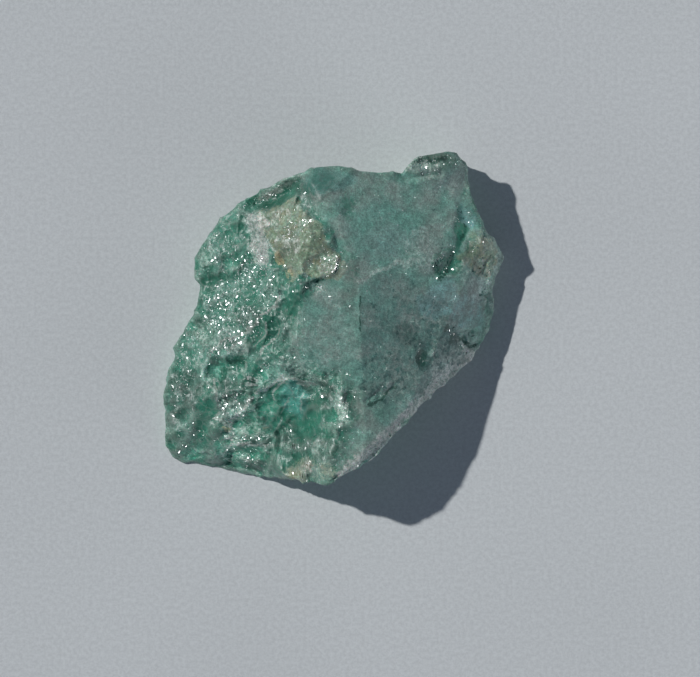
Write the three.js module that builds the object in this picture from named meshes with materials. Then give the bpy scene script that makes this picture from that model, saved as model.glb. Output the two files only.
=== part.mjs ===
// A broken, cloudy lump of aquamarine, as it comes out of its vein: one piece, lying on its flat underside.
// Seen from above, the right half is two smooth growth faces that slope away from a long crest, and the
// left half is a hackly fracture with hollows, ridges and ledges. A thin flake sits on the upper left.
//
// Every point of the skin starts from a straight line out of one inner point, which runs to the nearest
// of the surfaces that bound the lump. Chipping is added to it, and the relief of the top in height.
// Millimetres, +Z up, +X right, +Y towards the knob.

import * as THREE from 'three';
import { mergeVertices } from 'three/addons/utils/BufferGeometryUtils.js';

// ------------------------------------------------------------------------ driving dimensions, mm

const INNER_HEIGHT = 11; // height of the inner point over the table
const FLATNESS = 0.45; // height over width of the ball of directions, so that points are evenly spread
const LIFT = 0.16; // raises that ball, so that more of its points fall on the top than underneath
const SQUARES = 28; // squares along each side of the six panels of that ball
const CENTRE_SHIFT = [-0.16, 0.21]; // brings the middle of the finished lump onto the axis

// The edge of the lump from above, anticlockwise from the left end of its foot. Each point is x, y and
// the height at which the lump is widest there. Above it the wall leans in by `lean`, and below it by
// `undercut`, both in mm sideways per mm of height.
const EDGE = [
  {
    name: 'foot',
    lean: 0.9,
    undercut: 0.2,
    points: [
      [-29.1, -25.2, 1.4], [-27.1, -26.3, 1.1], [-24.7, -26.2, 1], [-22.2, -27.1, 0.9],
      [-20.4, -27.2, 0.9], [-18.3, -28, 0.9], [-16, -28.5, 1], [-13.2, -29, 1.6],
    ],
  },
  {
    name: 'lower tip',
    lean: 0.5,
    undercut: 0.4,
    points: [
      [-10.6, -29.1, 4.6], [-8.7, -29.3, 7.6], [-5.8, -29.5, 11], [-3.8, -29.7, 14], [-0.8, -29.5, 15.6],
    ],
  },
  {
    name: 'bevelled edge',
    lean: 1.5,
    undercut: 0.85,
    points: [
      [1.9, -28.4, 16.6], [4.7, -27, 16.2], [7.6, -24.8, 15.2], [11.5, -20.5, 13.9], [15.2, -17.1, 12.2],
    ],
  },
  {
    name: 'lower corner',
    lean: 0.9,
    undercut: 0.85,
    points: [[18, -14.4, 10.4], [21.7, -11.5, 8.2], [24.8, -8.5, 6.2], [26.4, -6, 5.1], [27.6, -4.2, 4.3]],
  },
  {
    name: 'right corner',
    lean: 1,
    undercut: 0.4,
    points: [
      [28.1, -2.3, 4.2], [28.5, -0.3, 4.6], [29, 2.5, 5.2], [29, 5.2, 5.6], [29.2, 7.5, 5.4],
      [29.8, 8.7, 4.8], [30.5, 10.5, 4.4], [30.3, 11.9, 4.6],
    ],
  },
  {
    name: 'upper right edge',
    lean: 0.35,
    undercut: 0.5,
    points: [[28.7, 14.2, 7], [27.2, 16.3, 8.4], [26.2, 18.5, 9.2], [25, 21.1, 9.8], [24.4, 23.8, 9.4]],
  },
  {
    name: 'knob',
    lean: 0.3,
    undercut: 0.05,
    points: [
      [24, 26.4, 9], [23.1, 28, 9], [22.2, 29.4, 9.4], [20.3, 29.5, 10], [17.9, 29, 11.4],
      [15.2, 28.5, 12.4], [14, 27.6, 13], [13, 26.4, 13.6],
    ],
  },
  {
    name: 'top edge',
    lean: 0.2,
    undercut: 0.35,
    points: [
      [12.4, 25.5, 14.4], [10.2, 25.6, 15.4], [7.9, 25.5, 16.4], [5.1, 25.7, 17.4], [3.3, 26.2, 17.8],
      [1, 26.7, 17.4], [-2.7, 26.4, 17.2], [-5.9, 25.1, 17.2], [-9.1, 24.3, 15.4],
    ],
  },
  {
    name: 'left shoulder',
    lean: 0.35,
    undercut: 0.35,
    points: [
      [-12.2, 23.1, 13.8], [-14, 21.9, 12.8], [-16.6, 20, 11.4], [-19.4, 18.1, 9.8], [-21.2, 16.4, 8.9],
      [-23.3, 13.3, 7.9], [-24.6, 10.6, 7.3], [-25, 8.7, 7.2],
    ],
  },
  {
    name: 'left notch',
    lean: 0.4,
    undercut: 0.3,
    points: [[-24.5, 7.1, 7.4], [-23.6, 5.7, 7.8], [-24, 3.9, 7.6], [-24.3, 1.5, 7.4]],
  },
  {
    name: 'left lobe',
    lean: 0.4,
    undercut: 0.25,
    points: [
      [-26.1, -1, 6.2], [-27.9, -3.7, 5], [-28.4, -6.2, 4.8], [-29.6, -9.5, 4.2], [-30.2, -13.6, 3.6],
      [-30.5, -15.7, 3.2], [-29.8, -16.8, 3], [-30.4, -18.6, 2.8], [-30.4, -21, 2.6], [-30.3, -23.4, 2.4],
    ],
  },
];

// The large faces of the top. Each is a plane through `at` that rises by `slope` mm per mm in x and y.
const FACES = {
  upperGrowthFace: { at: [4.6, 6.1, 19.5], slope: [-0.45, -0.04] },
  lowerGrowthFace: { at: [4.6, 6.1, 19.5], slope: [-0.49, 0.06] },
  lowerCornerSlope: { at: [20, -10.3, 9.3], slope: [-0.9, 0.25] },
  middleStrip: { at: [4.6, -0.5, 19], slope: [-0.08, 0.08] },
  upperLeftSlope: { at: [-3.4, 15.7, 20.8], slope: [0.64, -0.1] },
  leftSlope: { at: [-6.4, -2.3, 19.6], slope: [0.66, 0.02] },
  topSlope: { at: [-0.6, 22.9, 20.4], slope: [0.1, -0.6] },
  rightCornerSlope: { at: [27.1, 12.1, 8.4], slope: [-1, 0.1] },
};

// The side of the lump that is broken rather than grown, seen from above.
const FRACTURE = [
  [-33, -36], [-33, 35], [-12.8, 30.1], [-6, 23.8], [-3.8, 20.2], [2.1, 9.9], [-2.4, 5.2], [-5.6, 1.6],
  [-7.2, -4], [-6, -9], [0.6, -9.4], [3.6, -12.6], [4, -16.7], [1.6, -23.9], [-2.8, -27.5], [-2.8, -36],
];
const FRACTURE_BLEND = 2; // half the width over which smooth face turns into fracture

// The lower left is the higher of two gentler planes, one climbing from the foot and one from the tip.
const LOWER_FACES = {
  footSlope: { at: [-18.2, -27.7, 3.5], slope: [0.25, 0.55] },
  tipSlope: { at: [-5.8, -29.5, 12.5], slope: [0.8, 0] },
};

// A thin, crisp-edged flake that is raised over the upper left slope.
const FLAKE = [
  [-14.1, 18.4], [-9.6, 20], [-6.4, 21.6], [-4.6, 19.3], [-2.4, 16.6], [-0.4, 13.5], [1.4, 10.3],
  [1, 7.7], [-1.3, 6.7], [-5.6, 7.2], [-7.8, 5.9], [-9.2, 9.9], [-11.8, 13.9], [-13.6, 16],
];
const FLAKE_HEIGHT = 0.6;
const FLAKE_BLEND = 0.6;

// Ridges (height over 0) and valleys (under 0) of the top. Each is full on its line and runs out straight
// over `width` mm to either side.
const RIDGES = [
  { name: 'valley over flake', height: -1.6, width: 2.3,
    line: [[-14.6, 18.9], [-11.8, 20.5], [-7.8, 22], [-5.6, 23.6]] },
  { name: 'sunny ridge', height: 1.4, width: 4,
    line: [[-23.3, -5], [-20, -5.2], [-15.9, -3.1], [-11, 1.1], [-9.1, 5.2]] },
  { name: 'green valley', height: -0.4, width: 3.4,
    line: [[-6, 4.4], [-7.8, 0.9], [-10.3, -3.8], [-13.6, -6.3]] },
  { name: 'lobe ridge', height: 1, width: 3.5,
    line: [[-24, -9.2], [-22.2, -12.2], [-21.1, -15.8], [-20, -19.4]] },
  { name: 'upper bowl rim', height: 0.3, width: 1.2,
    line: [[-12.8, -12.8], [-9.6, -11], [-6, -9.9], [-2, -11]] },
  { name: 'bowl rim', height: 0.9, width: 2.4,
    line: [[-2, -11], [0.8, -13.5], [2.1, -17.6], [1.2, -21.8], [-2, -24.8]] },
  { name: 'upper foot ledge', height: 0.6, width: 1.6,
    line: [[-21.1, -20], [-16.8, -21.4], [-12.8, -20.7], [-9.2, -21.1]] },
  { name: 'foot groove', height: -0.5, width: 2.2,
    line: [[-22.6, -23.2], [-17.5, -24.3], [-12.8, -23.4], [-7.4, -24.3]] },
  { name: 'fissure', height: -0.3, width: 1.5,
    line: [[23, 22], [23, 17.1], [21.9, 13], [19.9, 9.2], [17.8, 7.4]] },
];

// Rounded lumps (height over 0) and hollows (under 0) of the top: middle, half-widths, turn in degrees.
const LUMPS = [
  { name: 'shoulder lump', at: [-19.3, 12.4], half: [5.8, 6.5], turn: 20, height: 1.6 },
  { name: 'notch hollow', at: [-21.7, 7.2], half: [2.7, 1.9], turn: 0, height: -1.2 },
  { name: 'middle lump', at: [-16.8, -6.3], half: [3.6, 2.4], turn: 20, height: 1.3 },
  { name: 'dark hollow', at: [-15, -10.3], half: [3.4, 2.4], turn: -15, height: -0.9 },
  { name: 'pale lump', at: [-17.5, -15.7], half: [4, 3.3], turn: 0, height: 1.1 },
  { name: 'lobe lump', at: [-26.5, -19.4], half: [4, 6.1], turn: 0, height: 1.6 },
  { name: 'lobe hollow', at: [-21.7, -16.9], half: [2, 4.3], turn: 20, height: -0.9 },
  { name: 'great bowl', at: [-7.4, -16.4], half: [7.8, 6.6], turn: 10, height: -0.6 },
  { name: 'foot lump', at: [-14.1, -26.3], half: [6.5, 2], turn: -4, height: 1 },
  { name: 'tip lump', at: [-3.8, -26.8], half: [4.7, 2.2], turn: 10, height: 0.9 },
  { name: 'fissure pit', at: [19.9, 9.2], half: [2.7, 2.2], turn: 30, height: -0.6 },
  { name: 'face pit', at: [16, -7.2], half: [1.5, 2.5], turn: 10, height: -0.4 },
  { name: 'knob lump', at: [17.8, 26], half: [6.5, 4], turn: 8, height: 1.4 },
  { name: 'corner lump', at: [27.1, 12.8], half: [3.6, 2.9], turn: -40, height: 1.2 },
  { name: 'nick in the bevelled edge', at: [6.8, -24.4], half: [2.6, 2], turn: 40, height: -1.4 },
];

const LUMP_FALL = 1.5; // power that gives raised lumps a soft foot; hollows have none

// Spots of the growth faces that are chipped too. `share` is their share of the finer chipping.
const ROUGH_SPOTS = [
  { name: 'knob', at: [17, 27], half: [7, 2.6], turn: 8, share: 0.8 },
  { name: 'right corner', at: [27, 11], half: [4.5, 5], turn: 0, share: 0.8 },
  { name: 'right edge', at: [28, 3], half: [2.6, 7], turn: -4, share: 0.6 },
  { name: 'fissure pit', at: [20.5, 9.5], half: [4, 3.6], turn: 40, share: 0.8 },
  { name: 'fissure', at: [22.8, 16], half: [1.8, 5], turn: -4, share: 0.6 },
  { name: 'lower corner', at: [24.5, -4.5], half: [4, 3], turn: -20, share: 0.6 },
  { name: 'lower growth face', at: [17, -4], half: [8, 7], turn: -30, share: 0.25 },
  { name: 'crest over the bevel', at: [9, -11], half: [8, 6], turn: 20, share: 0.25 },
  { name: 'lower tip', at: [0, -26], half: [6, 4], turn: 10, share: 0.6 },
];
const SPOT_EDGE = 0.7; // how far in from its line a rough spot is full, on a scale of 0 to 1

// Chipping: overlapping shallow scars, one to each cell of a grid. `rimGain` is the share of its depth
// that it gains at the widest line.
const COARSE_CHIPS = { cell: 4.8, depth: 1.8, seed: 1, rimGain: -0.6 };
const FINE_CHIPS = { cell: 2.1, depth: 0.7, seed: 2, rimGain: 0.6 };
const WALL_SCARS = { cell: 8, depth: 2, seed: 4 }; // broad scars of the walls alone
const SCAR = { tilt: 1.8, curve: 0.9, middle: 0.09, reach: 2 }; // a scar of unit size; reach in cells
const UNDERSIDE_CHIPS = 0.7; // share of the chipping that the walls and the underside have
const RIM_CHIPS = 0.7; // share of the fine chipping that the widest line has at least
const SWELL = [
  { cell: 9, depth: 0.3, seed: 11 },
  { cell: 3, depth: 0.12, seed: 12 },
];

// How far the lines of the top wander to the side.
const WANDER = [
  { cell: 5, reach: 0.7, seed: 3 },
  { cell: 1.6, reach: 0.3, seed: 21 },
];

// Where the top ends, in height over the widest line, and how far the spared rim reaches from that line.
const TOP_FROM = -0.6;
const TOP_FULL = 1.6;
const RIM_REACH = 1.2;

// The underside, where the lump meets the table.
const WORN_FLAT = 0.6; // how much of it is taken off flat, so that the lump rests steadily
const WORN_REACH = 5; // height over which that runs out
const GROUND_CALM = 0.7; // share of all chipping that it is spared
const GROUND_REACH = 2.5; // height over which that runs out

// ------------------------------------------------------------------------------------ helpers

const { smoothstep, degToRad } = THREE.MathUtils;

// A number from 0 to 1 that is fixed by three whole numbers and a seed.
function scatter(i, j, k, seed) {
  const value = Math.sin(i * 127.1 + j * 311.7 + k * 74.7 + seed * 53.3) * 43758.5453;
  return value - Math.floor(value);
}

// Soft noise from -1 to 1: random values on the corners of a grid, blended smoothly in between.
function swell(point, cell, seed) {
  const scaled = point.clone().divideScalar(cell);
  const corner = scaled.clone().floor();
  const blend = scaled.sub(corner).toArray().map((t) => t * t * (3 - 2 * t));
  let sum = 0;
  for (let i = 0; i <= 1; i += 1) {
    for (let j = 0; j <= 1; j += 1) {
      for (let k = 0; k <= 1; k += 1) {
        const share = (i ? blend[0] : 1 - blend[0]) * (j ? blend[1] : 1 - blend[1])
          * (k ? blend[2] : 1 - blend[2]);
        sum += share * scatter(corner.x + i, corner.y + j, corner.z + k, seed);
      }
    }
  }
  return 2 * sum - 1;
}

// Scars left by chipping: the lowest of many tilted shallow bowls, one in each cell of a grid.
function chipping(point, { cell, depth, seed }) {
  const scaled = point.clone().divideScalar(cell);
  const home = scaled.clone().floor();
  let lowest = Infinity;
  for (let i = home.x - SCAR.reach; i <= home.x + SCAR.reach; i += 1) {
    for (let j = home.y - SCAR.reach; j <= home.y + SCAR.reach; j += 1) {
      for (let k = home.z - SCAR.reach; k <= home.z + SCAR.reach; k += 1) {
        const random = (n) => scatter(i, j, k, n + seed * 10);
        const away = new THREE.Vector3(i + random(0), j + random(1), k + random(2)).sub(scaled).negate();
        const lean = new THREE.Vector3(random(3), random(4), random(5)).subScalar(0.5);
        const height = random(6) - 0.5 + SCAR.tilt * lean.dot(away) + SCAR.curve * away.lengthSq();
        lowest = Math.min(lowest, height);
      }
    }
  }
  return (lowest - SCAR.middle) * depth;
}

// Distance from (x, y) to a stretch of line.
function fromStretch(x, y, [ax, ay], [bx, by]) {
  const along = [bx - ax, by - ay];
  const length2 = along[0] ** 2 + along[1] ** 2;
  const t = THREE.MathUtils.clamp(((x - ax) * along[0] + (y - ay) * along[1]) / length2, 0, 1);
  return Math.hypot(x - ax - t * along[0], y - ay - t * along[1]);
}

// Distance from (x, y) to a closed outline, counted as positive inside it.
function depthInside(x, y, outline) {
  let nearest = Infinity;
  let inside = false;
  outline.forEach((start, n) => {
    const end = outline[(n + 1) % outline.length];
    nearest = Math.min(nearest, fromStretch(x, y, start, end));
    const crossesRow = start[1] > y !== end[1] > y;
    if (crossesRow && x < start[0] + ((end[0] - start[0]) * (y - start[1])) / (end[1] - start[1])) {
      inside = !inside;
    }
  });
  return inside ? nearest : -nearest;
}

// 1 inside an outline and 0 outside it, blended across its line.
function cover(x, y, outline, blend) {
  return smoothstep(depthInside(x, y, outline), -blend, blend);
}

// ------------------------------------------------------------------------------------ the lump

function planeHeight(x, y, { at, slope }) {
  return at[2] + slope[0] * (x - at[0]) + slope[1] * (y - at[1]);
}

function ridgeHeight(x, y, { line, height, width }) {
  const distances = line.slice(1).map((end, n) => fromStretch(x, y, line[n], end));
  return height * Math.max(0, 1 - Math.min(...distances) / width);
}

// 1 at the middle of a turned ellipse, 0 on its line, falling with the square of the distance.
function ovalShare(x, y, { at, half, turn }) {
  const angle = degToRad(turn);
  const [dx, dy] = [x - at[0], y - at[1]];
  const across = (dx * Math.cos(angle) + dy * Math.sin(angle)) / half[0];
  const along = (dy * Math.cos(angle) - dx * Math.sin(angle)) / half[1];
  return Math.max(0, 1 - across ** 2 - along ** 2);
}

function lumpHeight(x, y, lump) {
  const fall = ovalShare(x, y, lump);
  return lump.height * (lump.height > 0 ? fall ** LUMP_FALL : fall);
}

function roughness(x, y) {
  const shares = ROUGH_SPOTS.map((spot) => spot.share * smoothstep(ovalShare(x, y, spot), 0, SPOT_EDGE));
  return Math.max(...shares);
}

// All that the top has over its large faces.
function relief(x, y) {
  const flake = FLAKE_HEIGHT * cover(x, y, FLAKE, FLAKE_BLEND);
  const ridges = RIDGES.reduce((sum, ridge) => sum + ridgeHeight(x, y, ridge), 0);
  const lumps = LUMPS.reduce((sum, lump) => sum + lumpHeight(x, y, lump), 0);
  return flake + ridges + lumps;
}

const edgePoints = EDGE.flatMap(({ points, lean, undercut }) => (
  points.map(([x, y, height]) => ({ x, y, height, lean, undercut, angle: Math.atan2(y, x) }))
)).sort((a, b) => a.angle - b.angle);

// The edge in the direction of a line seen from above: how far out it is, its height and its leans.
function edgeAlong(direction) {
  const angle = Math.atan2(direction.y, direction.x);
  const after = edgePoints.find((point) => point.angle > angle) ?? edgePoints[0];
  const before = edgePoints.at(edgePoints.indexOf(after) - 1);
  const [c, s] = [Math.cos(angle), Math.sin(angle)];
  const [ex, ey] = [after.x - before.x, after.y - before.y];
  const facing = c * ey - s * ex;
  const share = (before.x * s - before.y * c) / facing;
  const mix = (key) => THREE.MathUtils.lerp(before[key], after[key], share);
  return {
    reach: (before.x * ey - before.y * ex) / facing,
    height: mix('height'),
    lean: mix('lean'),
    undercut: mix('undercut'),
  };
}

// Length of a line out of the inner point to the nearest of the surfaces that bound the lump. Each is
// reached after its gap over the speed at which the line closes that gap.
function lengthToSkin(direction, edge) {
  const flat = Math.hypot(direction.x, direction.y);
  const rise = edge.height - INNER_HEIGHT;
  const lengthTo = (gap, speed) => (speed > 0 ? gap / speed : Infinity);
  const lengthToFace = (face) => lengthTo(
    planeHeight(0, 0, face) - INNER_HEIGHT,
    direction.z - face.slope[0] * direction.x - face.slope[1] * direction.y,
  );
  return Math.min(
    ...Object.values(FACES).map(lengthToFace),
    Math.max(...Object.values(LOWER_FACES).map(lengthToFace)),
    lengthTo(edge.reach + rise * edge.lean, flat + direction.z * edge.lean),
    lengthTo(edge.reach - rise * edge.undercut, flat - direction.z * edge.undercut),
    lengthTo(INNER_HEIGHT, -direction.z),
  );
}

// The point of the skin that lies in a direction from the inner point. Chipping goes out along the line
// on the walls and straight up on the top.
function skinPoint(direction) {
  const edge = edgeAlong(direction);
  const point = direction.clone().multiplyScalar(lengthToSkin(direction, edge));
  const overEdge = point.z + INNER_HEIGHT - edge.height;
  let { x, y } = point;
  WANDER.forEach(({ cell, reach, seed }) => {
    x += reach * swell(point, cell, seed);
    y += reach * swell(point, cell, seed + 1);
  });

  const top = smoothstep(overEdge, TOP_FROM, TOP_FULL);
  const rim = Math.exp(-((overEdge / RIM_REACH) ** 2));
  const broken = cover(x, y, FRACTURE, FRACTURE_BLEND) * top + UNDERSIDE_CHIPS * (1 - top);
  const rough = Math.max(broken, roughness(x, y) * top, RIM_CHIPS * rim);
  let outwards = chipping(point, WALL_SCARS) * (1 - top) * (1 - rim);
  outwards += chipping(point, COARSE_CHIPS) * broken * (1 + COARSE_CHIPS.rimGain * rim);
  outwards += chipping(point, FINE_CHIPS) * rough * (1 + FINE_CHIPS.rimGain * rim);
  SWELL.forEach(({ cell, depth, seed }) => {
    outwards += swell(point, cell, seed) * depth * (1 - rim);
  });

  const grounded = 1 - smoothstep(point.z + INNER_HEIGHT, 0, GROUND_REACH);
  const way = direction.clone().multiplyScalar(1 - top);
  way.z += top;
  const skin = point.addScaledVector(way, outwards * (1 - GROUND_CALM * grounded));
  const height = skin.z + INNER_HEIGHT + relief(x, y) * top;
  const worn = WORN_FLAT * (1 - smoothstep(height, 0, WORN_REACH));
  skin.z = Math.max(0, height - worn);
  return skin;
}

// A ball of directions with evenly spread points: a box of squares, blown up and flattened.
function directionBall() {
  const box = new THREE.BoxGeometry(2, 2, 2, SQUARES, SQUARES, SQUARES);
  box.deleteAttribute('normal');
  box.deleteAttribute('uv');
  return mergeVertices(box);
}

// Each square is two triangles. It is folded along the shorter of its diagonals, which keeps ridges sharp.
function foldAlongShorterDiagonal({ index, attributes }) {
  const corner = (n) => new THREE.Vector3().fromBufferAttribute(attributes.position, n);
  for (let n = 0; n < index.count; n += 6) {
    const [a, b, d, , c] = index.array.slice(n, n + 6);
    if (corner(a).distanceTo(corner(c)) < corner(b).distanceTo(corner(d))) {
      [a, b, c, a, c, d].forEach((vertex, k) => index.setX(n + k, vertex));
    }
  }
}

function crystalGeometry() {
  const geometry = directionBall();
  const position = geometry.attributes.position;
  const even = (t) => Math.tan((t * Math.PI) / 4);
  const direction = new THREE.Vector3();
  for (let n = 0; n < position.count; n += 1) {
    direction.fromBufferAttribute(position, n);
    direction.set(even(direction.x), even(direction.y), even(direction.z)).normalize();
    direction.z = FLATNESS * direction.z + LIFT;
    const skin = skinPoint(direction.normalize());
    position.setXYZ(n, skin.x + CENTRE_SHIFT[0], skin.y + CENTRE_SHIFT[1], skin.z);
  }
  foldAlongShorterDiagonal(geometry);
  geometry.computeVertexNormals();
  return geometry;
}

// Cloudy sea-green stone, seen as a plain solid.
const aquamarine = new THREE.MeshStandardMaterial({ color: 0x5a8676, roughness: 0.4, metalness: 0 });

const crystal = new THREE.Mesh(crystalGeometry(), aquamarine);
crystal.name = 'crystal';

const part = new THREE.Group();
part.add(crystal);

export default part;
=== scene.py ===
import math

import bpy
import numpy as np
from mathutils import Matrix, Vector


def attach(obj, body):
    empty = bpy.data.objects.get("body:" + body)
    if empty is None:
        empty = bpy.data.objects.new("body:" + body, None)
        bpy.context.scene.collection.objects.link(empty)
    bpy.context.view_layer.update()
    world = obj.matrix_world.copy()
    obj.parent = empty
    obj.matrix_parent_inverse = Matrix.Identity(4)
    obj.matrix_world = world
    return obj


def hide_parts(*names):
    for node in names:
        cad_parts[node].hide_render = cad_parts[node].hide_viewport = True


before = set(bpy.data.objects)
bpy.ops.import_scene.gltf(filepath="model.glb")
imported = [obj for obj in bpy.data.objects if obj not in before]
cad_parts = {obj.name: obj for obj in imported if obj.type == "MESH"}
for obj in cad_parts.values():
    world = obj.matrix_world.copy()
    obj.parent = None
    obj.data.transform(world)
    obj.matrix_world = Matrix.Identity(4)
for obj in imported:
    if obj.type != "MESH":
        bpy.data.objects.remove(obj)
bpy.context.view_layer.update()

# ------------------------------------------------------------------------------------ the lump
# One broken, cloudy piece of aquamarine, lying on its flat underside. Its right half is two smooth
# growth faces, and its left half is a hackly fracture. Values are in mm until the mesh is written.

MM = 0.001

INNER_HEIGHT = 11  # height of the inner point that every line to the skin starts from
FLATNESS = 0.45  # height over width of the ball of directions
LIFT = 0.16  # raises that ball, so that more of its points fall on the top
SQUARES = 127  # squares along each side of the six panels of that ball
CENTRE_SHIFT = (-0.16, 0.21)  # brings the middle of the finished lump onto the axis
WORN_FLAT = 0.6  # how much of the underside is taken off flat
WORN_REACH = 5  # height over which that runs out

# The edge of the lump from above, anticlockwise from the left end of its foot: the lean of the wall
# above the widest line, its undercut below it, and points of x, y and the height of the widest line.
EDGE = (
    # foot
    (0.9, 0.2, ((-29.1, -25.2, 1.4), (-27.1, -26.3, 1.1), (-24.7, -26.2, 1), (-22.2, -27.1, 0.9),
                (-20.4, -27.2, 0.9), (-18.3, -28, 0.9), (-16, -28.5, 1), (-13.2, -29, 1.6))),
    # lower tip
    (0.5, 0.4, ((-10.6, -29.1, 4.6), (-8.7, -29.3, 7.6), (-5.8, -29.5, 11), (-3.8, -29.7, 14),
                (-0.8, -29.5, 15.6))),
    # bevelled edge
    (1.5, 0.85, ((1.9, -28.4, 16.6), (4.7, -27, 16.2), (7.6, -24.8, 15.2), (11.5, -20.5, 13.9),
                 (15.2, -17.1, 12.2))),
    # lower corner
    (0.9, 0.85, ((18, -14.4, 10.4), (21.7, -11.5, 8.2), (24.8, -8.5, 6.2), (26.4, -6, 5.1),
                 (27.6, -4.2, 4.3))),
    # right corner
    (1, 0.4, ((28.1, -2.3, 4.2), (28.5, -0.3, 4.6), (29, 2.5, 5.2), (29, 5.2, 5.6),
              (29.2, 7.5, 5.4), (29.8, 8.7, 4.8), (30.5, 10.5, 4.4), (30.3, 11.9, 4.6))),
    # upper right edge
    (0.35, 0.5, ((28.7, 14.2, 7), (27.2, 16.3, 8.4), (26.2, 18.5, 9.2), (25, 21.1, 9.8),
                 (24.4, 23.8, 9.4))),
    # knob
    (0.3, 0.05, ((24, 26.4, 9), (23.1, 28, 9), (22.2, 29.4, 9.4), (20.3, 29.5, 10), (17.9, 29, 11.4),
                 (15.2, 28.5, 12.4), (14, 27.6, 13), (13, 26.4, 13.6))),
    # top edge
    (0.2, 0.35, ((12.4, 25.5, 14.4), (10.2, 25.6, 15.4), (7.9, 25.5, 16.4), (5.1, 25.7, 17.4),
                 (3.3, 26.2, 17.8), (1, 26.7, 17.4), (-2.7, 26.4, 17.2), (-5.9, 25.1, 17.2),
                 (-9.1, 24.3, 15.4))),
    # left shoulder
    (0.35, 0.35, ((-12.2, 23.1, 13.8), (-14, 21.9, 12.8), (-16.6, 20, 11.4), (-19.4, 18.1, 9.8),
                 (-21.2, 16.4, 8.9), (-23.3, 13.3, 7.9), (-24.6, 10.6, 7.3), (-25, 8.7, 7.2))),
    # left notch
    (0.4, 0.3, ((-24.5, 7.1, 7.4), (-23.6, 5.7, 7.8), (-24, 3.9, 7.6), (-24.3, 1.5, 7.4))),
    # left lobe
    (0.4, 0.25, ((-26.1, -1, 6.2), (-27.9, -3.7, 5), (-28.4, -6.2, 4.8), (-29.6, -9.5, 4.2),
                 (-30.2, -13.6, 3.6), (-30.5, -15.7, 3.2), (-29.8, -16.8, 3), (-30.4, -18.6, 2.8),
                 (-30.4, -21, 2.6), (-30.3, -23.4, 2.4))),
)

# The large faces of the top: planes through a point, and their slopes in x and y.
FACES = (
    ((4.6, 6.1, 19.5), (-0.45, -0.04)),  # upper growth face
    ((4.6, 6.1, 19.5), (-0.49, 0.06)),  # lower growth face
    ((20, -10.3, 9.3), (-0.9, 0.25)),  # lower corner slope
    ((4.6, -0.5, 19), (-0.08, 0.08)),  # middle strip
    ((-3.4, 15.7, 20.8), (0.64, -0.1)),  # upper left slope
    ((-6.4, -2.3, 19.6), (0.66, 0.02)),  # left slope
    ((-0.6, 22.9, 20.4), (0.1, -0.6)),  # top slope
    ((27.1, 12.1, 8.4), (-1, 0.1)),  # right corner slope
)
# The lower left is the higher of two gentler planes.
LOWER_FACES = (
    ((-18.2, -27.7, 3.5), (0.25, 0.55)),  # foot slope
    ((-5.8, -29.5, 12.5), (0.8, 0)),  # tip slope
)

FRACTURE = ((-33, -36), (-33, 35), (-12.8, 30.1), (-6, 23.8), (-3.8, 20.2), (2.1, 9.9), (-2.4, 5.2),
            (-5.6, 1.6), (-7.2, -4), (-6, -9), (0.6, -9.4), (3.6, -12.6), (4, -16.7),
            (1.6, -23.9), (-2.8, -27.5), (-2.8, -36))
FRACTURE_BLEND = 2  # half the width over which smooth face turns into fracture

FLAKE = ((-14.1, 18.4), (-9.6, 20), (-6.4, 21.6), (-4.6, 19.3), (-2.4, 16.6), (-0.4, 13.5),
         (1.4, 10.3), (1, 7.7), (-1.3, 6.7), (-5.6, 7.2), (-7.8, 5.9), (-9.2, 9.9), (-11.8, 13.9),
         (-13.6, 16))
FLAKE_HEIGHT = 0.6
FLAKE_BLEND = 0.6

# Ridges (height over 0) and valleys: height, width to either side of the line, line.
RIDGES = (
    (-1.6, 2.3, ((-14.6, 18.9), (-11.8, 20.5), (-7.8, 22), (-5.6, 23.6))),  # valley over the flake
    (1.4, 4, ((-23.3, -5), (-20, -5.2), (-15.9, -3.1), (-11, 1.1), (-9.1, 5.2))),  # sunny ridge
    (-0.4, 3.4, ((-6, 4.4), (-7.8, 0.9), (-10.3, -3.8), (-13.6, -6.3))),  # green valley
    (1, 3.5, ((-24, -9.2), (-22.2, -12.2), (-21.1, -15.8), (-20, -19.4))),  # lobe ridge
    (0.3, 1.2, ((-12.8, -12.8), (-9.6, -11), (-6, -9.9), (-2, -11))),  # upper bowl rim
    (0.9, 2.4, ((-2, -11), (0.8, -13.5), (2.1, -17.6), (1.2, -21.8), (-2, -24.8))),  # bowl rim
    (0.6, 1.6, ((-21.1, -20), (-16.8, -21.4), (-12.8, -20.7), (-9.2, -21.1))),  # upper foot ledge
    (-0.5, 2.2, ((-22.6, -23.2), (-17.5, -24.3), (-12.8, -23.4), (-7.4, -24.3))),  # foot groove
    (-0.3, 1.5, ((23, 22), (23, 17.1), (21.9, 13), (19.9, 9.2), (17.8, 7.4))),  # fissure
    (-0.7, 0.8, ((12.5, 24.1), (15.6, 24.7), (18.8, 25))),  # step under the knob
    (-0.4, 0.5, ((10.9, -12.1), (9.6, -12.8), (8.2, -14))),  # crack over the bevelled edge
    (-0.4, 0.5, ((8.4, -13.1), (7, -14.2), (5.9, -15.1))),  # its other end
    (-0.9, 0.55, ((22.8, -4), (24.8, -5.4), (26.8, -4.9))),  # crack at the right corner
    (-0.8, 0.6, ((-9.8, -21.6), (-9.4, -20.1))),  # pit in the foot ledge
    (0.4, 1.1, ((-2.8, 21.1), (-0.4, 20.2), (1.7, 18.9))),  # splinter beside the flake
)

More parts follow.
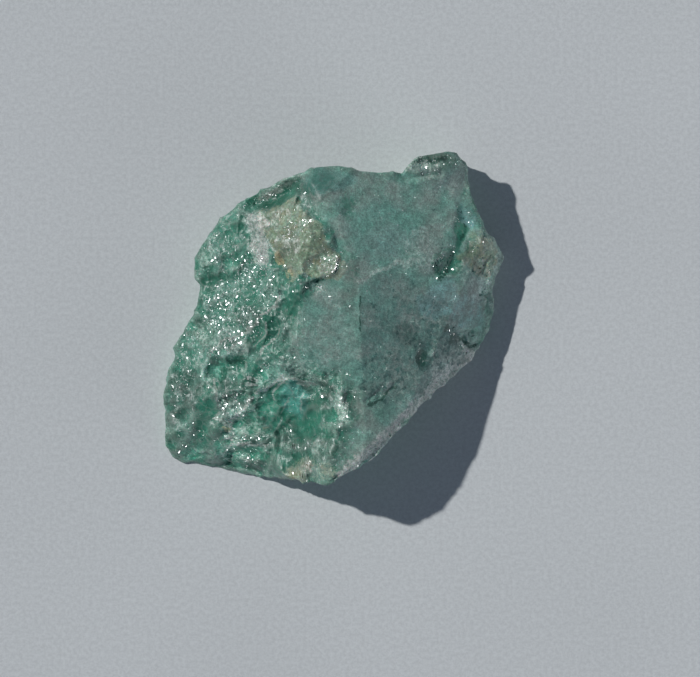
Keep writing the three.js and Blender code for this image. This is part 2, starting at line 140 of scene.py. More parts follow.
# Rounded lumps (height over 0) and hollows: middle, half-widths, turn in degrees, height.
LUMPS = (
    ((-19.3, 12.4), (5.8, 6.5), 20, 1.6),  # shoulder lump
    ((-21.7, 7.2), (2.7, 1.9), 0, -1.2),  # notch hollow
    ((-16.8, -6.3), (3.6, 2.4), 20, 1.3),  # middle lump
    ((-15, -10.3), (3.4, 2.4), -15, -0.9),  # dark hollow
    ((-17.5, -15.7), (4, 3.3), 0, 1.1),  # pale lump
    ((-26.5, -19.4), (4, 6.1), 0, 1.6),  # lobe lump
    ((-21.7, -16.9), (2, 4.3), 20, -0.9),  # lobe hollow
    ((-7.4, -16.4), (7.8, 6.6), 10, -0.6),  # great bowl
    ((-14.1, -26.3), (6.5, 2), -4, 1),  # foot lump
    ((-3.8, -26.8), (4.7, 2.2), 10, 0.9),  # tip lump
    ((19.9, 9.2), (2.7, 2.2), 30, -0.6),  # fissure pit
    ((16, -7.2), (1.5, 2.5), 10, -0.4),  # face pit
    ((17.8, 26), (6.5, 4), 8, 1.4),  # knob lump
    ((27.1, 12.8), (3.6, 2.9), -40, 1.2),  # corner lump
    ((6.8, -24.4), (2.6, 2), 40, -1.4),  # nick in the bevelled edge
)

LUMP_FALL = 1.5  # power that gives raised lumps a soft foot; hollows have none

# Spots outside the fracture that are chipped too: middle, half-widths, turn in degrees, amount.
ROUGH_SPOTS = (
    ((17, 27), (7, 2.6), 8, 0.8),  # knob
    ((27, 11), (4.5, 5), 0, 0.8),  # right corner
    ((28, 3), (2.6, 7), -4, 0.6),  # right edge
    ((20.5, 9.5), (4, 3.6), 40, 0.8),  # fissure pit
    ((22.8, 16), (1.8, 5), -4, 0.6),  # fissure
    ((24.5, -4.5), (4, 3), -20, 0.6),  # lower corner
    ((17, -4), (8, 7), -30, 0.25),  # lower growth face
    ((9, -11), (8, 6), 20, 0.25),  # crest over the bevel
    ((0, -26), (6, 4), 10, 0.6),  # lower tip
)
# Chipping, coarse to fine: cell, depth, seed and reach in cells; the share it gains at the widest line,
# its share on smooth faces, and whether the rough spots have it.
CHIPS = (
    (4.8, 1.8, 1, 2, -0.6, 0, False),
    (2.1, 0.7, 2, 2, 0.6, 0, True),
    (1.0, 0.22, 5, 1, 0.6, 0.04, True),
    (0.5, 0.07, 6, 1, 0.6, 0.06, True),
)
WALL_SCARS = (8, 2, 4, 2)  # broad scars of the walls alone: cell, depth, seed, reach
SCAR_TILT, SCAR_CURVE, SCAR_MIDDLE = 1.8, 0.9, 0.09  # slope, bend and mean height of a scar of unit size
UNDERSIDE_CHIPS = 0.7  # share of the chipping that the walls and the underside have
RIM_CHIPS = 0.7  # share of the finer chipping that the widest line has at least
GROUND_CALM = 0.7  # share of the chipping that the foot of the walls is spared
GROUND_REACH = 2.5  # height over which that runs out
TOP_FROM, TOP_FULL = -0.6, 1.6  # heights over the widest line between which wall turns into top
RIM_REACH = 1.2  # how far the rim reaches up and down from the widest line
SWELL = ((9, 0.3, 11), (3, 0.12, 12))  # soft waves: cell, depth, seed
WANDER = ((5, 0.7, 3), (1.6, 0.3, 21))  # how far the lines of the top wander: cell, reach, seed
OVAL_EDGE, STRIP_EDGE = 0.7, 0.8  # share, of 1 in the middle, from which an oval or a strip is full


def smooth(value, low, high):
    """0 under low, 1 over high, and 3t^2 - 2t^3 in between, where t runs from 0 to 1."""
    t = np.clip((value - low) / (high - low), 0, 1)
    return t * t * (3 - 2 * t)


def scatter(i, j, k, seed):
    """A number from 0 to 1 for three whole numbers: the fraction of a large multiple of a sine."""
    value = np.sin(i * 127.1 + j * 311.7 + k * 74.7 + seed * 53.3) * 43758.5453
    return value - np.floor(value)


def swell(points, cell, seed):
    """Noise from -1 to 1: random values on a grid's corners, blended smoothly between the eight."""
    scaled = points / cell
    corner = np.floor(scaled)
    blend = smooth(scaled - corner, 0, 1)
    total = 0
    for step in np.ndindex(2, 2, 2):
        share = np.prod(np.where(step, blend, 1 - blend), axis=1)
        total = total + share * scatter(*(corner + step).T, seed)
    return 2 * total - 1


def chipping(points, cell, depth, seed, reach):
    """Scars: the lowest of tilted shallow bowls, one at a random point of each cell of a grid."""
    scaled = points / cell
    home = np.floor(scaled)
    lowest = np.full(len(points), np.inf)
    for step in np.ndindex(*[2 * reach + 1] * 3):
        place = (home + step - reach).T
        random = [scatter(*place, n + seed * 10) for n in range(7)]
        away = scaled - (place + random[:3]).T
        lean = np.array(random[3:6]).T - 0.5
        height = random[6] - 0.5 + SCAR_TILT * (lean * away).sum(1) + SCAR_CURVE * (away**2).sum(1)
        lowest = np.minimum(lowest, height)
    return (lowest - SCAR_MIDDLE) * depth


def from_stretch(x, y, start, end):
    """Distance to a stretch of line: the length of the way from its foot on the stretch."""
    along = np.subtract(end, start)
    t = np.clip(((x - start[0]) * along[0] + (y - start[1]) * along[1]) / (along @ along), 0, 1)
    return np.hypot(x - start[0] - t * along[0], y - start[1] - t * along[1])


def depth_inside(x, y, outline):
    """Distance to a closed outline, positive inside, where a row crosses it an odd number of times."""
    nearest = np.full(len(x), np.inf)
    inside = np.zeros(len(x), bool)
    for start, end in zip(outline, outline[1:] + outline[:1]):
        nearest = np.minimum(nearest, from_stretch(x, y, start, end))
        if start[1] != end[1]:
            cut = start[0] + (end[0] - start[0]) * (y - start[1]) / (end[1] - start[1])
            inside ^= ((start[1] > y) != (end[1] > y)) & (x < cut)
    return np.where(inside, nearest, -nearest)


def cover(x, y, outline, blend):
    """1 inside an outline and 0 outside it, blended across its line."""
    return smooth(depth_inside(x, y, outline), -blend, blend)


def plane_height(x, y, at, slope):
    """Height of a plane over x, y: that of its point, and its slopes times the way from there."""
    return at[2] + slope[0] * (x - at[0]) + slope[1] * (y - at[1])


def ridge_share(x, y, width, line):
    """1 on a line, falling straight to 0 over its width: 1 less the distance over the width."""
    nearest = np.min([from_stretch(x, y, *ends) for ends in zip(line, line[1:])], axis=0)
    return np.clip(1 - nearest / width, 0, None)


def lump_share(x, y, at, half, turn):
    """1 at the middle of a turned ellipse, 0 on its line: 1 less the squared distance from the middle."""
    c, s = math.cos(math.radians(turn)), math.sin(math.radians(turn))
    across = ((x - at[0]) * c + (y - at[1]) * s) / half[0]
    along = ((y - at[1]) * c - (x - at[0]) * s) / half[1]
    return np.clip(1 - across**2 - along**2, 0, None)


def relief(x, y):
    """Height of the top over its large faces: the sum of flake, ridges, lumps and hollows."""
    height = FLAKE_HEIGHT * cover(x, y, FLAKE, FLAKE_BLEND)
    for rise, width, line in RIDGES:
        height += rise * ridge_share(x, y, width, line)
    for at, half, turn, rise in LUMPS:
        height += rise * lump_share(x, y, at, half, turn) ** (LUMP_FALL if rise > 0 else 1)
    return height


def patches(x, y, ovals, strips=()):
    """The most that any soft-edged oval (middle, half-widths, turn, amount) or strip (width, amount,
    line) gives."""
    most = np.zeros(len(x))
    for at, half, turn, amount in ovals:
        most = np.maximum(most, amount * smooth(lump_share(x, y, at, half, turn), 0, OVAL_EDGE))
    for width, amount, line in strips:
        most = np.maximum(most, amount * smooth(ridge_share(x, y, width, line), 0, STRIP_EDGE))
    return most


def edge_along(direction):
    """The edge where a line seen from above crosses it: its reach, and height, lean and undercut there.

    The line cuts the stretch between the two edge points to either side of its angle, and reach and
    share along that stretch come from the cross products of line, stretch and first point."""
    rows = [(x, y, height, lean, cut) for lean, cut, points in EDGE for x, y, height in points]
    rows = np.array(sorted(rows, key=lambda row: math.atan2(row[1], row[0])))
    angle = np.arctan2(direction[:, 1], direction[:, 0])
    after = np.searchsorted(np.arctan2(rows[:, 1], rows[:, 0]), angle) % len(rows)
    last, following = rows[after - 1], rows[after]
    c, s = np.cos(angle), np.sin(angle)
    ex, ey = (following - last).T[:2]
    facing = c * ey - s * ex
    share = (last[:, 0] * s - last[:, 1] * c) / facing
    reach = (last[:, 0] * ey - last[:, 1] * ex) / facing
    height, lean, undercut = (last + share[:, None] * (following - last)).T[2:]
    return reach, height, lean, undercut


def length_to_skin(direction, edge):
    """Length of a line out of the inner point: the least over all surfaces, each gap over speed."""
    reach, height, lean, undercut = edge
    dx, dy, dz = direction.T
    flat = np.hypot(dx, dy)
    rise = height - INNER_HEIGHT

    def length(gap, speed):
        """Length at which a line that closes a gap at a speed gets there: never, where it moves away."""
        return np.where(speed > 0, gap / np.where(speed > 0, speed, 1), np.inf)

    def to_face(face):
        """Length to a plane: its height over the inner point, over the rise of the line against it."""
        at, slope = face
        return length(plane_height(0, 0, at, slope) - INNER_HEIGHT, dz - slope[0] * dx - slope[1] * dy)

    lengths = [to_face(face) for face in FACES]
    lengths.append(np.maximum(*[to_face(face) for face in LOWER_FACES]))
    lengths.append(length(reach + rise * lean, flat + dz * lean))
    lengths.append(length(reach - rise * undercut, flat - dz * undercut))
    lengths.append(length(INNER_HEIGHT, -dz))
    return np.min(lengths, axis=0)


def skin(direction):
    """Points of the skin: the inner point plus direction times length, then chipping along the line on
    the walls and upwards on the top, then the relief of the top, and the underside worn flat."""
    edge = edge_along(direction)
    point = direction * length_to_skin(direction, edge)[:, None]
    over_edge = point[:, 2] + INNER_HEIGHT - edge[1]
    x, y = point[:, 0].copy(), point[:, 1].copy()
    for cell, reach, seed in WANDER:
        x += reach * swell(point, cell, seed)
        y += reach * swell(point, cell, seed + 1)

    top = smooth(over_edge, TOP_FROM, TOP_FULL)
    rim = np.exp(-((over_edge / RIM_REACH) ** 2))
    broken = cover(x, y, FRACTURE, FRACTURE_BLEND) * top + UNDERSIDE_CHIPS * (1 - top)
    rough = np.maximum(broken, patches(x, y, ROUGH_SPOTS) * top)
    rough = np.maximum(rough, RIM_CHIPS * rim)
    outwards = chipping(point, *WALL_SCARS) * (1 - top) * (1 - rim)
    for cell, depth, seed, reach, gain, everywhere, in_spots in CHIPS:
        share = (rough if in_spots else broken) * (1 - everywhere) + everywhere
        outwards += chipping(point, cell, depth, seed, reach) * share * (1 + gain * rim)
    for cell, depth, seed in SWELL:
        outwards += swell(point, cell, seed) * depth * (1 - rim)

    grounded = 1 - smooth(point[:, 2] + INNER_HEIGHT, 0, GROUND_REACH)
    way = direction * (1 - top)[:, None] + np.outer(top, (0, 0, 1))
    points = point + way * (outwards * (1 - GROUND_CALM * grounded))[:, None]
    height = points[:, 2] + INNER_HEIGHT + relief(x, y) * top
    points[:, 2] = np.maximum(height - WORN_FLAT * (1 - smooth(height, 0, WORN_REACH)), 0)
    points[:, :2] += CENTRE_SHIFT
    return points, top, rough * top


def ball_of_panels(squares):
    """A ball as six square panels: u and v are tangents of even angles, and the panel's own axis is 1."""
    even = np.tan(np.linspace(-1, 1, squares + 1) * math.pi / 4)
    u, v = (grid.ravel() for grid in np.meshgrid(even, even, indexing="ij"))
    one = np.ones_like(u)
    panels = ((one, u, v), (-one, -u, v), (-u, one, v), (u, -one, v), (-v, u, one), (v, u, -one))
    corner = np.arange((squares + 1) ** 2).reshape(squares + 1, squares + 1)
    square = np.stack([corner[:-1, :-1], corner[1:, :-1], corner[1:, 1:], corner[:-1, 1:]], -1)
    quads = np.concatenate([square.reshape(-1, 4) + n * corner.size for n in range(6)])
    points = np.concatenate([np.stack(panel, 1) for panel in panels])
    points /= np.linalg.norm(points, axis=1)[:, None]
    _, first, twin = np.unique(np.round(points, 6) + 0.0, axis=0, return_index=True, return_inverse=True)
    return points[first], twin.ravel()[quads]


ball, quads = ball_of_panels(SQUARES)
direction = ball * (1, 1, FLATNESS) + (0, 0, LIFT)
direction /= np.linalg.norm(direction, axis=1)[:, None]
points, top, broken = skin(direction)

lump_mesh = bpy.data.meshes.new("aquamarine_lump")
lump_mesh.from_pydata((points * MM).tolist(), [], quads.tolist())
lump_mesh.shade_smooth()
lump = bpy.data.objects.new("aquamarine_lump", lump_mesh)
bpy.context.scene.collection.objects.link(lump)


def keep_mask(name, values):
    """Writes one number for each point of the lump, for the finish to read."""
    layer = lump_mesh.attributes.new(name, "FLOAT", "POINT")
    layer.data.foreach_set("value", np.clip(values, 0, 1).astype(np.float32))


def standing_out(points, quads, normals, rounds):
    """How far each point stands over its surroundings: its gap, along the normal, to the mean of its
    neighbours, where the mean is taken again over some rounds."""
    sides = np.concatenate([quads[:, [n, (n + 1) % 4]] for n in range(4)])
    count = np.bincount(sides[:, 0], minlength=len(points))[:, None]
    mean = points
    for _ in range(rounds):
        totals = [np.bincount(sides[:, 0], mean[sides[:, 1], n], len(points)) for n in range(3)]
        mean = np.stack(totals, 1) / count
    return ((points - mean) * normals).sum(1)


# The marks of the skin, from above. Each has soft-edged ovals, of middle, half-widths, turn in degrees
# and amount, and soft-edged strips, of width to either side, amount and line.
MARKS = {
    "clear": ((  # windows into the deep green inside
        ((-11.6, -3), (2.4, 4.4), -25, 1), ((-7, 2.6), (2.6, 3.2), -20, 0.9),
        ((-9, -16), (4.6, 5.6), 10, 0.95), ((-4, -18), (4, 5), 0, 0.9),
        ((-22.6, -16.9), (2.6, 3.6), 10, 0.9), ((-15, -10.2), (3.6, 2.7), -15, 0.8),
        ((-1.6, 23.6), (3.4, 2.4), 0, 0.55), ((2.6, 19), (1.4, 3.4), 10, 0.5),
        ((-18.6, 16.6), (4.4, 3.2), 0, 0.5), ((-22.2, 5.4), (1.8, 3.4), -10, 0.8),
        ((-15, 3.2), (3.4, 3.2), 0, 0.5), ((-9.6, -26.3), (1.4, 3.2), 0, 0.7),
        ((-5.3, -21.2), (3.4, 2), 10, 0.6), ((-22.4, -21.4), (4, 2.4), 0, 0.5),
        ((-10.6, 20.7), (4.6, 1.7), 25, 0.9), ((19.7, 8.5), (2.6, 2), 40, 0.65),
        ((-18.6, -8), (2.6, 1.6), 20, 0.5), ((3.4, 8), (2, 3), 0, 0.4),
        ((-4, 22.8), (1.8, 1.4), 0, 0.8), ((-26, -17), (3, 5), 0, 0.45),
    ), (
        (1.3, 0.9, ((22.8, 19), (23.2, 16), (21.7, 13), (19.9, 9.2))),
        (1.3, 0.9, ((-15.5, -5), (-13.4, -1.4), (-10.9, 0.4), (-8.6, 1.8))),
        (1.2, 0.9, ((-22.9, -14), (-22, -18), (-20.8, -21))),
    )),
    "teal": ((  # bluer green
        ((-6.6, -14.2), (3.6, 4), 10, 1), ((9, 15), (8, 7), 0, 0.5), ((-24, 15), (3, 4), 0, 0.4),
        ((-1, 24), (6, 2.8), 0, 0.8),
    ), ()),
    "frost_and_edge_light": ((  # bruised and frosted skin, and painted light in white along the bevelled edge
        ((-0.5, -3), (5.5, 9), 0, 0.3), ((1.4, -16.7), (1.3, 4), -8, 1),
        ((-2.2, -22.5), (2.6, 1.2), 25, 0.9), ((-18, -15.7), (3.6, 2.8), 0, 0.75),
        ((-22.5, 11), (2.2, 3), 0, 0.7), ((-1.4, 18.2), (2.6, 1.4), -10, 0.35),
        ((15.6, 27), (4.4, 1.5), 14, 0.9), ((27, 13.4), (1.6, 1.3), 0, 0.9),
        ((15.4, 12), (3.4, 6), 10, 0.6), ((-23, -2.3), (3, 3), 0, 0.7),
        ((-5, -8.6), (4.5, 1.4), 10, 0.6), ((-18.6, -20.6), (1.6, 1.6), 0, 1),
        ((-13.6, 11.4), (1.5, 2.6), 30, 1), ((-16.6, -5.4), (2.6, 1.8), 20, 0.9),
        ((-14, -19), (2.6, 1.4), 0, 0.6), ((-27, -9), (2.6, 7), -8, 0.25),
        ((20, 23.6), (3.6, 2.6), 0, 0.6), ((28.6, 9), (1.2, 2), 0, 0.8),
        ((-2.4, -13.4), (1.4, 1), 0, 0.6), ((-23.6, -12), (2.4, 3.4), 0, 0.5),
        ((-18, 2.5), (6.5, 5), 0, 0.35), ((26, 7), (4, 7), 0, 0.85), ((20.5, -8.6), (5.5, 3), 38, 0.8),
        ((-14, -13), (2, 2), 0, 0.5),
    ), (
        # painted light along the bevelled edge
        (2.2, 0.9, ((1.9, -27.6), (7.4, -24.1), (14.8, -16.3), (21.2, -10.8), (26, -5.5))),
        (2.2, 0.6, ((-23.3, -3.6), (-20.6, -3.8), (-16.8, -1.7), (-12.3, 2.1), (-10.5, 6.2))),
        (1.3, 0.8, ((-18.5, -21.3), (-15, -22.6), (-11.5, -22), (-8.6, -22.6))),
        (1.2, 0.7, ((-12.8, -12.8), (-9.6, -11), (-6, -9.9), (-2, -11))),
        (0.9, 1, ((4.6, 6.8), (10, 9), (15.6, 9.9))),
        (0.8, 1, ((29.2, 7), (28.9, 1), (28.6, -1), (27.8, -3), (26.6, -5))),
        (0.6, 1, ((22.4, -4.8), (24.6, -6.3), (26.8, -5.9))),
        (0.9, 0.8, ((-13, 22.2), (-9, 23.9), (-5.4, 24.8))), (0.7, 0.9, ((-16.2, -8), (-16, -11))),
        (1.6, 1, ((28, 15), (30, 10.8), (29.4, 8), (28.6, 3))),
    )),
    "crease": ((  # thin pale lines where breaks meet
    ), (
        (0.45, 1, ((-22, -5.5), (-20.4, -4.1), (-17.7, -3.2), (-15.9, -2.7), (-13.7, -0.5),
                   (-11.4, 0.9), (-10.1, 2.2), (-9.1, 4.5))),
        (0.4, 1, ((-12.3, -1.1), (-12.5, -2.7), (-13, -4.1), (-13.7, -5.4))),
        (0.4, 0.9, ((-9.6, -1.8), (-10.5, -3.6), (-11.8, -5.4), (-12.7, -6.5))),
        (0.5, 1, ((-13.9, -13.1), (-11, -12.4), (-9.6, -11.3), (-8.2, -10.6), (-5.3, -11.3),
                  (-3.1, -12.1))),
        (0.4, 0.9, ((-8.2, -10.6), (-10.3, -13.1), (-10.5, -14.6))),
        (0.35, 0.8, ((-4.9, -12.8), (-5.3, -14.9), (-5.6, -16.7))),
        (0.35, 0.7, ((-7.8, -14.2), (-8.9, -16.7), (-9.6, -19.3), (-10, -21.4))),
        (0.5, 1, ((-21.1, -11.7), (-20.8, -15.7), (-20.4, -17.8), (-18.6, -18.9), (-16.8, -17.1),
                  (-14.6, -13.9))),
        (0.6, 1, ((-18.2, -22.9), (-16.8, -22.1), (-14.3, -22.5), (-10.3, -22.1), (-7.8, -22.3))),
        (0.4, 0.8, ((-18.6, -19.3), (-18.6, -22.1), (-19.7, -25), (-18.6, -26.1))),
        (0.4, 0.6, ((-26.5, -16.4), (-25.8, -18.9), (-25.1, -23.2))),
        (0.7, 1, ((-13.4, 21.4), (-10.2, 22.6), (-6.6, 23.4))),
        (0.4, 0.6, ((-14.2, 25.6), (-5, 24), (-3, 20))),
        (0.4, 0.8, ((-16.4, -24.6), (-13, -25.4), (-10.6, -24.4))),
    )),
    "haze": ((  # bluish milky spots
        ((18.6, 3.4), (4, 5), -30, 0.7), ((24.2, 18.4), (2.2, 3), 20, 1), ((24, 1), (4, 4), 0, 0.5),
    ), ()),
    "dusk": ((  # greyer growth face
        ((15, -6), (14, 13), -30, 0.8), ((11, 2), (7, 8), 0, 0.5), ((-1, -6), (6, 14), 0, 0.4),
    ), ()),
    "cream": ((  # cream skin, as on the flake
        ((-4.4, -27), (5.4, 2.8), 0, 1), ((-1, -27.4), (3.4, 2), 15, 0.8),
        ((26.8, 11), (4, 5), 0, 0.85), ((0.8, 8.4), (2.4, 2), 0, 0.9),
    ), ()),
    "rose": ((  # rosy white skin beside the flake, and painted light in rosy white on the bevelled edge
        ((-12.7, 12.6), (1.9, 4.2), 20, 1), ((-13.4, 16.6), (2.8, 2), 10, 0.9),
        ((-4.6, -26.6), (2, 1.4), 0, 0.5),
    ), (
        # painted light on the bevelled edge
        (1.8, 1, ((1.4, -27.2), (4.6, -25.6), (8, -22.6), (12.4, -18), (15.4, -15.6))),
        (2.6, 0.9, ((15.4, -15), (19.4, -11.4), (24.4, -7.4))),
    )),
    "olive": ((  # brownish green skin
        ((-6.2, 10.8), (3.2, 3), 20, 1), ((-3, 14), (2.6, 3.4), 20, 0.8),
        ((24.2, 11), (2.4, 1.4), 20, 0.9), ((27.8, 11.6), (1.4, 1.2), 0, 0.7),
        ((24.8, 15), (1.4, 1.2), 0, 0.7),
    ), ()),
    "stain": ((  # ochre stains
        ((-9, 10.4), (1, 2), 15, 0.9), ((-8.2, 7.6), (0.9, 1.1), 0, 0.7),
        ((-3.4, 10), (0.8, 0.7), 0, 0.6), ((-19.3, -19.3), (1, 0.6), 0, 0.8),
        ((26.4, 15.3), (0.8, 0.8), 0, 0.5), ((-12.5, -19.3), (0.8, 0.5), 0, 0.5),
    ), ()),
    "grime": ((  # dark specks, and dirt in pits
        ((18.1, -5), (7, 5), -25, 0.7), ((8.4, -10.6), (5.4, 5.4), 0, 0.6),
        ((16, -7.2), (1.4, 2.3), 0, 1.2), ((17.8, 18.9), (0.9, 0.4), 25, 0.9),
        ((19.9, 8.3), (2.4, 1.8), 40, 0.55), ((15, 28.3), (2.6, 0.9), 20, 1),
        ((22.3, 28.3), (2, 1), -20, 0.9), ((-9.6, -20.7), (0.5, 1.1), 0, 1.2),
        ((12.5, 0.5), (10, 8), 0, 0.25), ((21.5, -3.4), (2.4, 1.6), -30, 0.9),
    ), ()),
    "pit": ((  # the darkest pits and cracks
        ((15.6, -6.8), (1.3, 2), 10, 0.9), ((21.9, -3.8), (1.6, 1.1), -30, 0.7),
        ((19.9, -2), (1.3, 1), 0, 0.7), ((19.6, 7.6), (1.7, 1), 40, 0.6),
        ((-9.7, -21.4), (1.1, 2), 0, 1), ((-14.7, -11.3), (1.4, 1), 0, 0.7),
    ), (
        (0.5, 0.9, ((10.9, -12.1), (8.6, -13.5), (5.9, -15.1))),
        (0.6, 0.9, ((22.8, -4), (24.8, -5.4), (26.8, -4.9))),
        (0.35, 0.8, ((4.9, 3.4), (4.7, 0), (4.5, -3))),
        (0.6, 0.6, ((23.1, 18.4), (23.2, 15.6), (22, 13))), (0.7, 1, ((-10.1, -20), (-9.4, -23))),
        (0.6, 1, ((14.4, 27), (16.6, 27.8), (20, 28.4))),
    )),
    "dim": ((  # darker all through: in part the stone's own tone, in part painted shade, as in the valley over the flake
        ((-2.6, 23.6), (6, 4), 10, 1), ((-11, 20.8), (4, 2), 28, 0.9), ((3.2, 5.4), (1.8, 6), -4, 0.7),
        ((-28, -14.5), (3.5, 6), 0, 1), ((-7.6, 12.6), (2.8, 3.4), 10, 0.6),
        ((6.4, -15), (4, 5), 0, 0.5), ((-3, -22.8), (6, 3.4), 0, 0.8), ((17.6, 2.6), (2, 3), 0, 0.3),
        ((17.5, 29), (7, 1.5), 4, 1), ((2, 26), (4, 2), 0, 0.8), ((-18.4, -12.8), (2.6, 2), 0, 1),
        ((13.4, -3.4), (3, 3), 0, 0.8), ((-10.6, -2.4), (2.4, 4), 25, 0.25),
        ((-21.6, 7), (2.4, 3), -20, 0.5), ((-7, 1.6), (2, 3), -20, 0.3),
        ((-25.8, -12.6), (2.6, 5), 0, 1), ((-29, -18), (1.8, 2.4), 0, 1),
        ((-4.2, 21.5), (1.8, 2.6), 0, 0.6), ((-0.8, -13.4), (2.4, 2.8), 0, 1),
        ((3.2, -15), (2, 4), 0, 0.7), ((-7.6, -20.3), (2.4, 1.6), 0, 0.6),
        ((-6, -25.4), (3, 1.6), 0, 0.8), ((-18.6, -4.4), (2, 1.6), 0, 1),
        ((-15, -0.2), (2.4, 2.6), 0, 0.8), ((-15, -3), (2, 2.4), 0, 0.6),
        ((-15, -12.4), (1.8, 1.4), 0, 0.7), ((-4.2, -15.4), (2, 2), 0, 0.7),
        ((-12, -26), (5, 2.4), 0, 0.4), ((-9, -0.6), (2.2, 2.4), 0, 0.5),
        ((-16, -15.4), (1.6, 1.6), 0, 0.5),
    ), ()),
    "painted_light": ((  # painted light: lighter where the relief shades the skin, and where light would come through the stone
        ((-11.4, -13), (3.6, 5.4), -10, 1), ((-15.6, -17.2), (3.6, 2.4), 0, 1),
        ((-18.8, -21), (2.8, 3), 0, 1), ((-14.5, -23.4), (3, 1.6), 0, 0.52),
        ((-22, -9.6), (2.4, 2.2), 0, 1), ((-18.6, -6.8), (2, 1.4), 0, 0.9),
        ((-25.8, -24.8), (2.2, 2.6), 0, 1), ((28, 8), (2.4, 7), 0, 0.8), ((25.6, 15), (2, 4), 10, 0.45),
        ((24.4, -3), (2.6, 3), 0, 0.45), ((22, 1), (2, 4), 0, 0.22), ((-7.4, -14), (3.4, 3.4), 0, 0.75),
        ((-18.6, -24.2), (2.6, 2.4), 0, 1), ((13.8, -14.9), (2.4, 2), 40, 0.45),
        ((-4.2, 8), (1.8, 2.4), 0, 0.5), ((19.2, -9.5), (3, 1.6), 30, 0.3),
        ((-7.6, 25.4), (2, 1), 20, 0.9), ((-22.2, 9.4), (1.8, 1.8), 0, 0.7),
        ((1.4, -17), (1.6, 4), -8, 0.38), ((-2.4, -9.4), (3, 1.4), 0, 0.3),
        ((-0.6, 14.6), (1.4, 1.6), 0, 0.5), ((-25.6, -1.6), (1.2, 1.6), 0, 0.6),
        ((-18.6, 9.4), (1.6, 1.6), 0, 0.5), ((-9.6, -17.6), (2.6, 1.6), 0, 0.4),
        ((22, 20), (4, 8), 0, 0.15),
    ), ()),
    "sugar": ((  # sugary fracture, with painted glints in white and facets that flash
        ((-18, 1.5), (7, 6), 0, 1), ((-14, 8), (4.6, 5), 0, 0.9), ((-6.6, 15.6), (3.8, 2), 25, 1),
        ((-0.6, 9.6), (2.2, 1.6), 0, 0.9), ((-26.5, -8), (3, 8), -15, 0.6),
        ((-17.6, -15), (3.6, 2.6), 0, 0.75), ((-12.6, -9.5), (1.6, 2.6), 0, 0.8),
        ((-8.5, -7), (2, 1.6), 0, 0.5), ((-2.4, -13.3), (1.6, 1.2), 0, 0.8),
        ((1.6, -17), (1.2, 3.4), 0, 0.7), ((-3.6, -26), (1.6, 1.6), 0, 0.7),
        ((-2.2, 5), (1.2, 0.9), 0, 1), ((20, 8.4), (2.8, 2.2), 40, 0.5),
        ((16, 27.2), (3.4, 0.9), 10, 0.6), ((-12, 21.6), (5, 1), 28, 0.5), ((-20, 12), (3, 5), 0, 0.6),
        ((-16.6, -25), (4, 1.4), 0, 0.6),
    ), (
        (1.6, 1, ((-22, -5.6), (-17, -4), (-12.6, -0.4), (-10, 4.6))),
        (1.2, 0.8, ((-20, -20.6), (-16.8, -21.4), (-12.8, -20.7))),
    )),
}
ON_WALLS_TOO = ("frost_and_edge_light", "rose", "sugar")  # marks that don't end where the walls begin
MARK_WANDER = ((2.6, 0.9, 31), (0.9, 0.35, 33))  # how far their lines wander: cell, reach, seed
FLAKE_EDGE = 0.6  # half the width over which the cream of the flake fades out
FRACTURE_EDGE = 3.5  # half the width over which the finish of the fracture fades out
WALL_BROKEN = 0.55  # share of that finish that the walls have
BULGE_ROUNDS = 3  # how wide a surrounding a crest or a hollow is measured against
BULGE_FULL = 0.06  # height of a crest, and depth of a hollow, that count in full
UPWARD_FROM, UPWARD_FULL = 0.25, 0.65  # upward part of the normal between which the skin begins to glint

x, y = points[:, 0].copy(), points[:, 1].copy()
for cell, reach, seed in MARK_WANDER:
    x += reach * swell(points, cell, seed)
    y += reach * swell(points, cell, seed + 1)
lump_mesh.update()
normals = np.empty(points.size, np.float32)
lump_mesh.vertex_normals.foreach_get("vector", normals)
normals = normals.reshape(-1, 3)
bulge = standing_out(points, quads, normals, BULGE_ROUNDS) / BULGE_FULL

marks = {name: patches(x, y, *shapes) for name, shapes in MARKS.items()}
marks["cream"] = np.maximum(marks["cream"], cover(x, y, FLAKE, FLAKE_EDGE))
for name, values in marks.items():
    keep_mask(name, values if name in ON_WALLS_TOO else values * top)
in_fracture = np.maximum(broken, cover(x, y, FRACTURE, FRACTURE_EDGE) * top)
keep_mask("broken", in_fracture + WALL_BROKEN * (1 - top))
keep_mask("crest", bulge)
keep_mask("hollow", -bulge)
keep_mask("upward", top * smooth(normals[:, 2], UPWARD_FROM, UPWARD_FULL))

finish = bpy.data.materials.new("cloudy_aquamarine")
finish.use_nodes = True
tree = finish.node_tree
tree.nodes.clear()


def node(kind, inputs, **settings):
    """Adds a node with its settings, and links or sets its inputs."""
    made = tree.nodes.new("ShaderNode" + kind)
    for name, value in settings.items():
        setattr(made, name, value)
    for name, value in inputs.items():
        if isinstance(value, bpy.types.NodeSocket):
            tree.links.new(value, made.inputs[name])
        else:
            made.inputs[name].default_value = value
    return made


def mask(name):
    """The number of that name that each point of the lump carries."""
    return node("Attribute", {}, attribute_name=name).outputs["Fac"]


def calc(operation, a, b=0.0, c=0.0):
    return node("Math", {0: a, 1: b, 2: c}, operation=operation).outputs[0]


def times(first, *others):
    """The product of all that is given."""
    for other in others:
        first = calc("MULTIPLY", first, other)
    return first


def sloped(value, slope, start):
    """The value times a slope, plus a start."""
    return calc("MULTIPLY_ADD", value, slope, start)


def ramp(value, low, high, to_low=0.0, to_high=1.0):
    """value from low to high is turned smoothly into to_low to to_high."""
    return node("MapRange", {0: value, 1: low, 2: high, 3: to_low, 4: to_high},
                interpolation_type="SMOOTHSTEP").outputs[0]


def combine(operation, a, b):
    return node("VectorMath", {0: a, 1: b}, operation=operation).outputs[0]


def scaled(vector, factor):
    return node("VectorMath", {0: vector, 3: factor}, operation="SCALE").outputs[0]


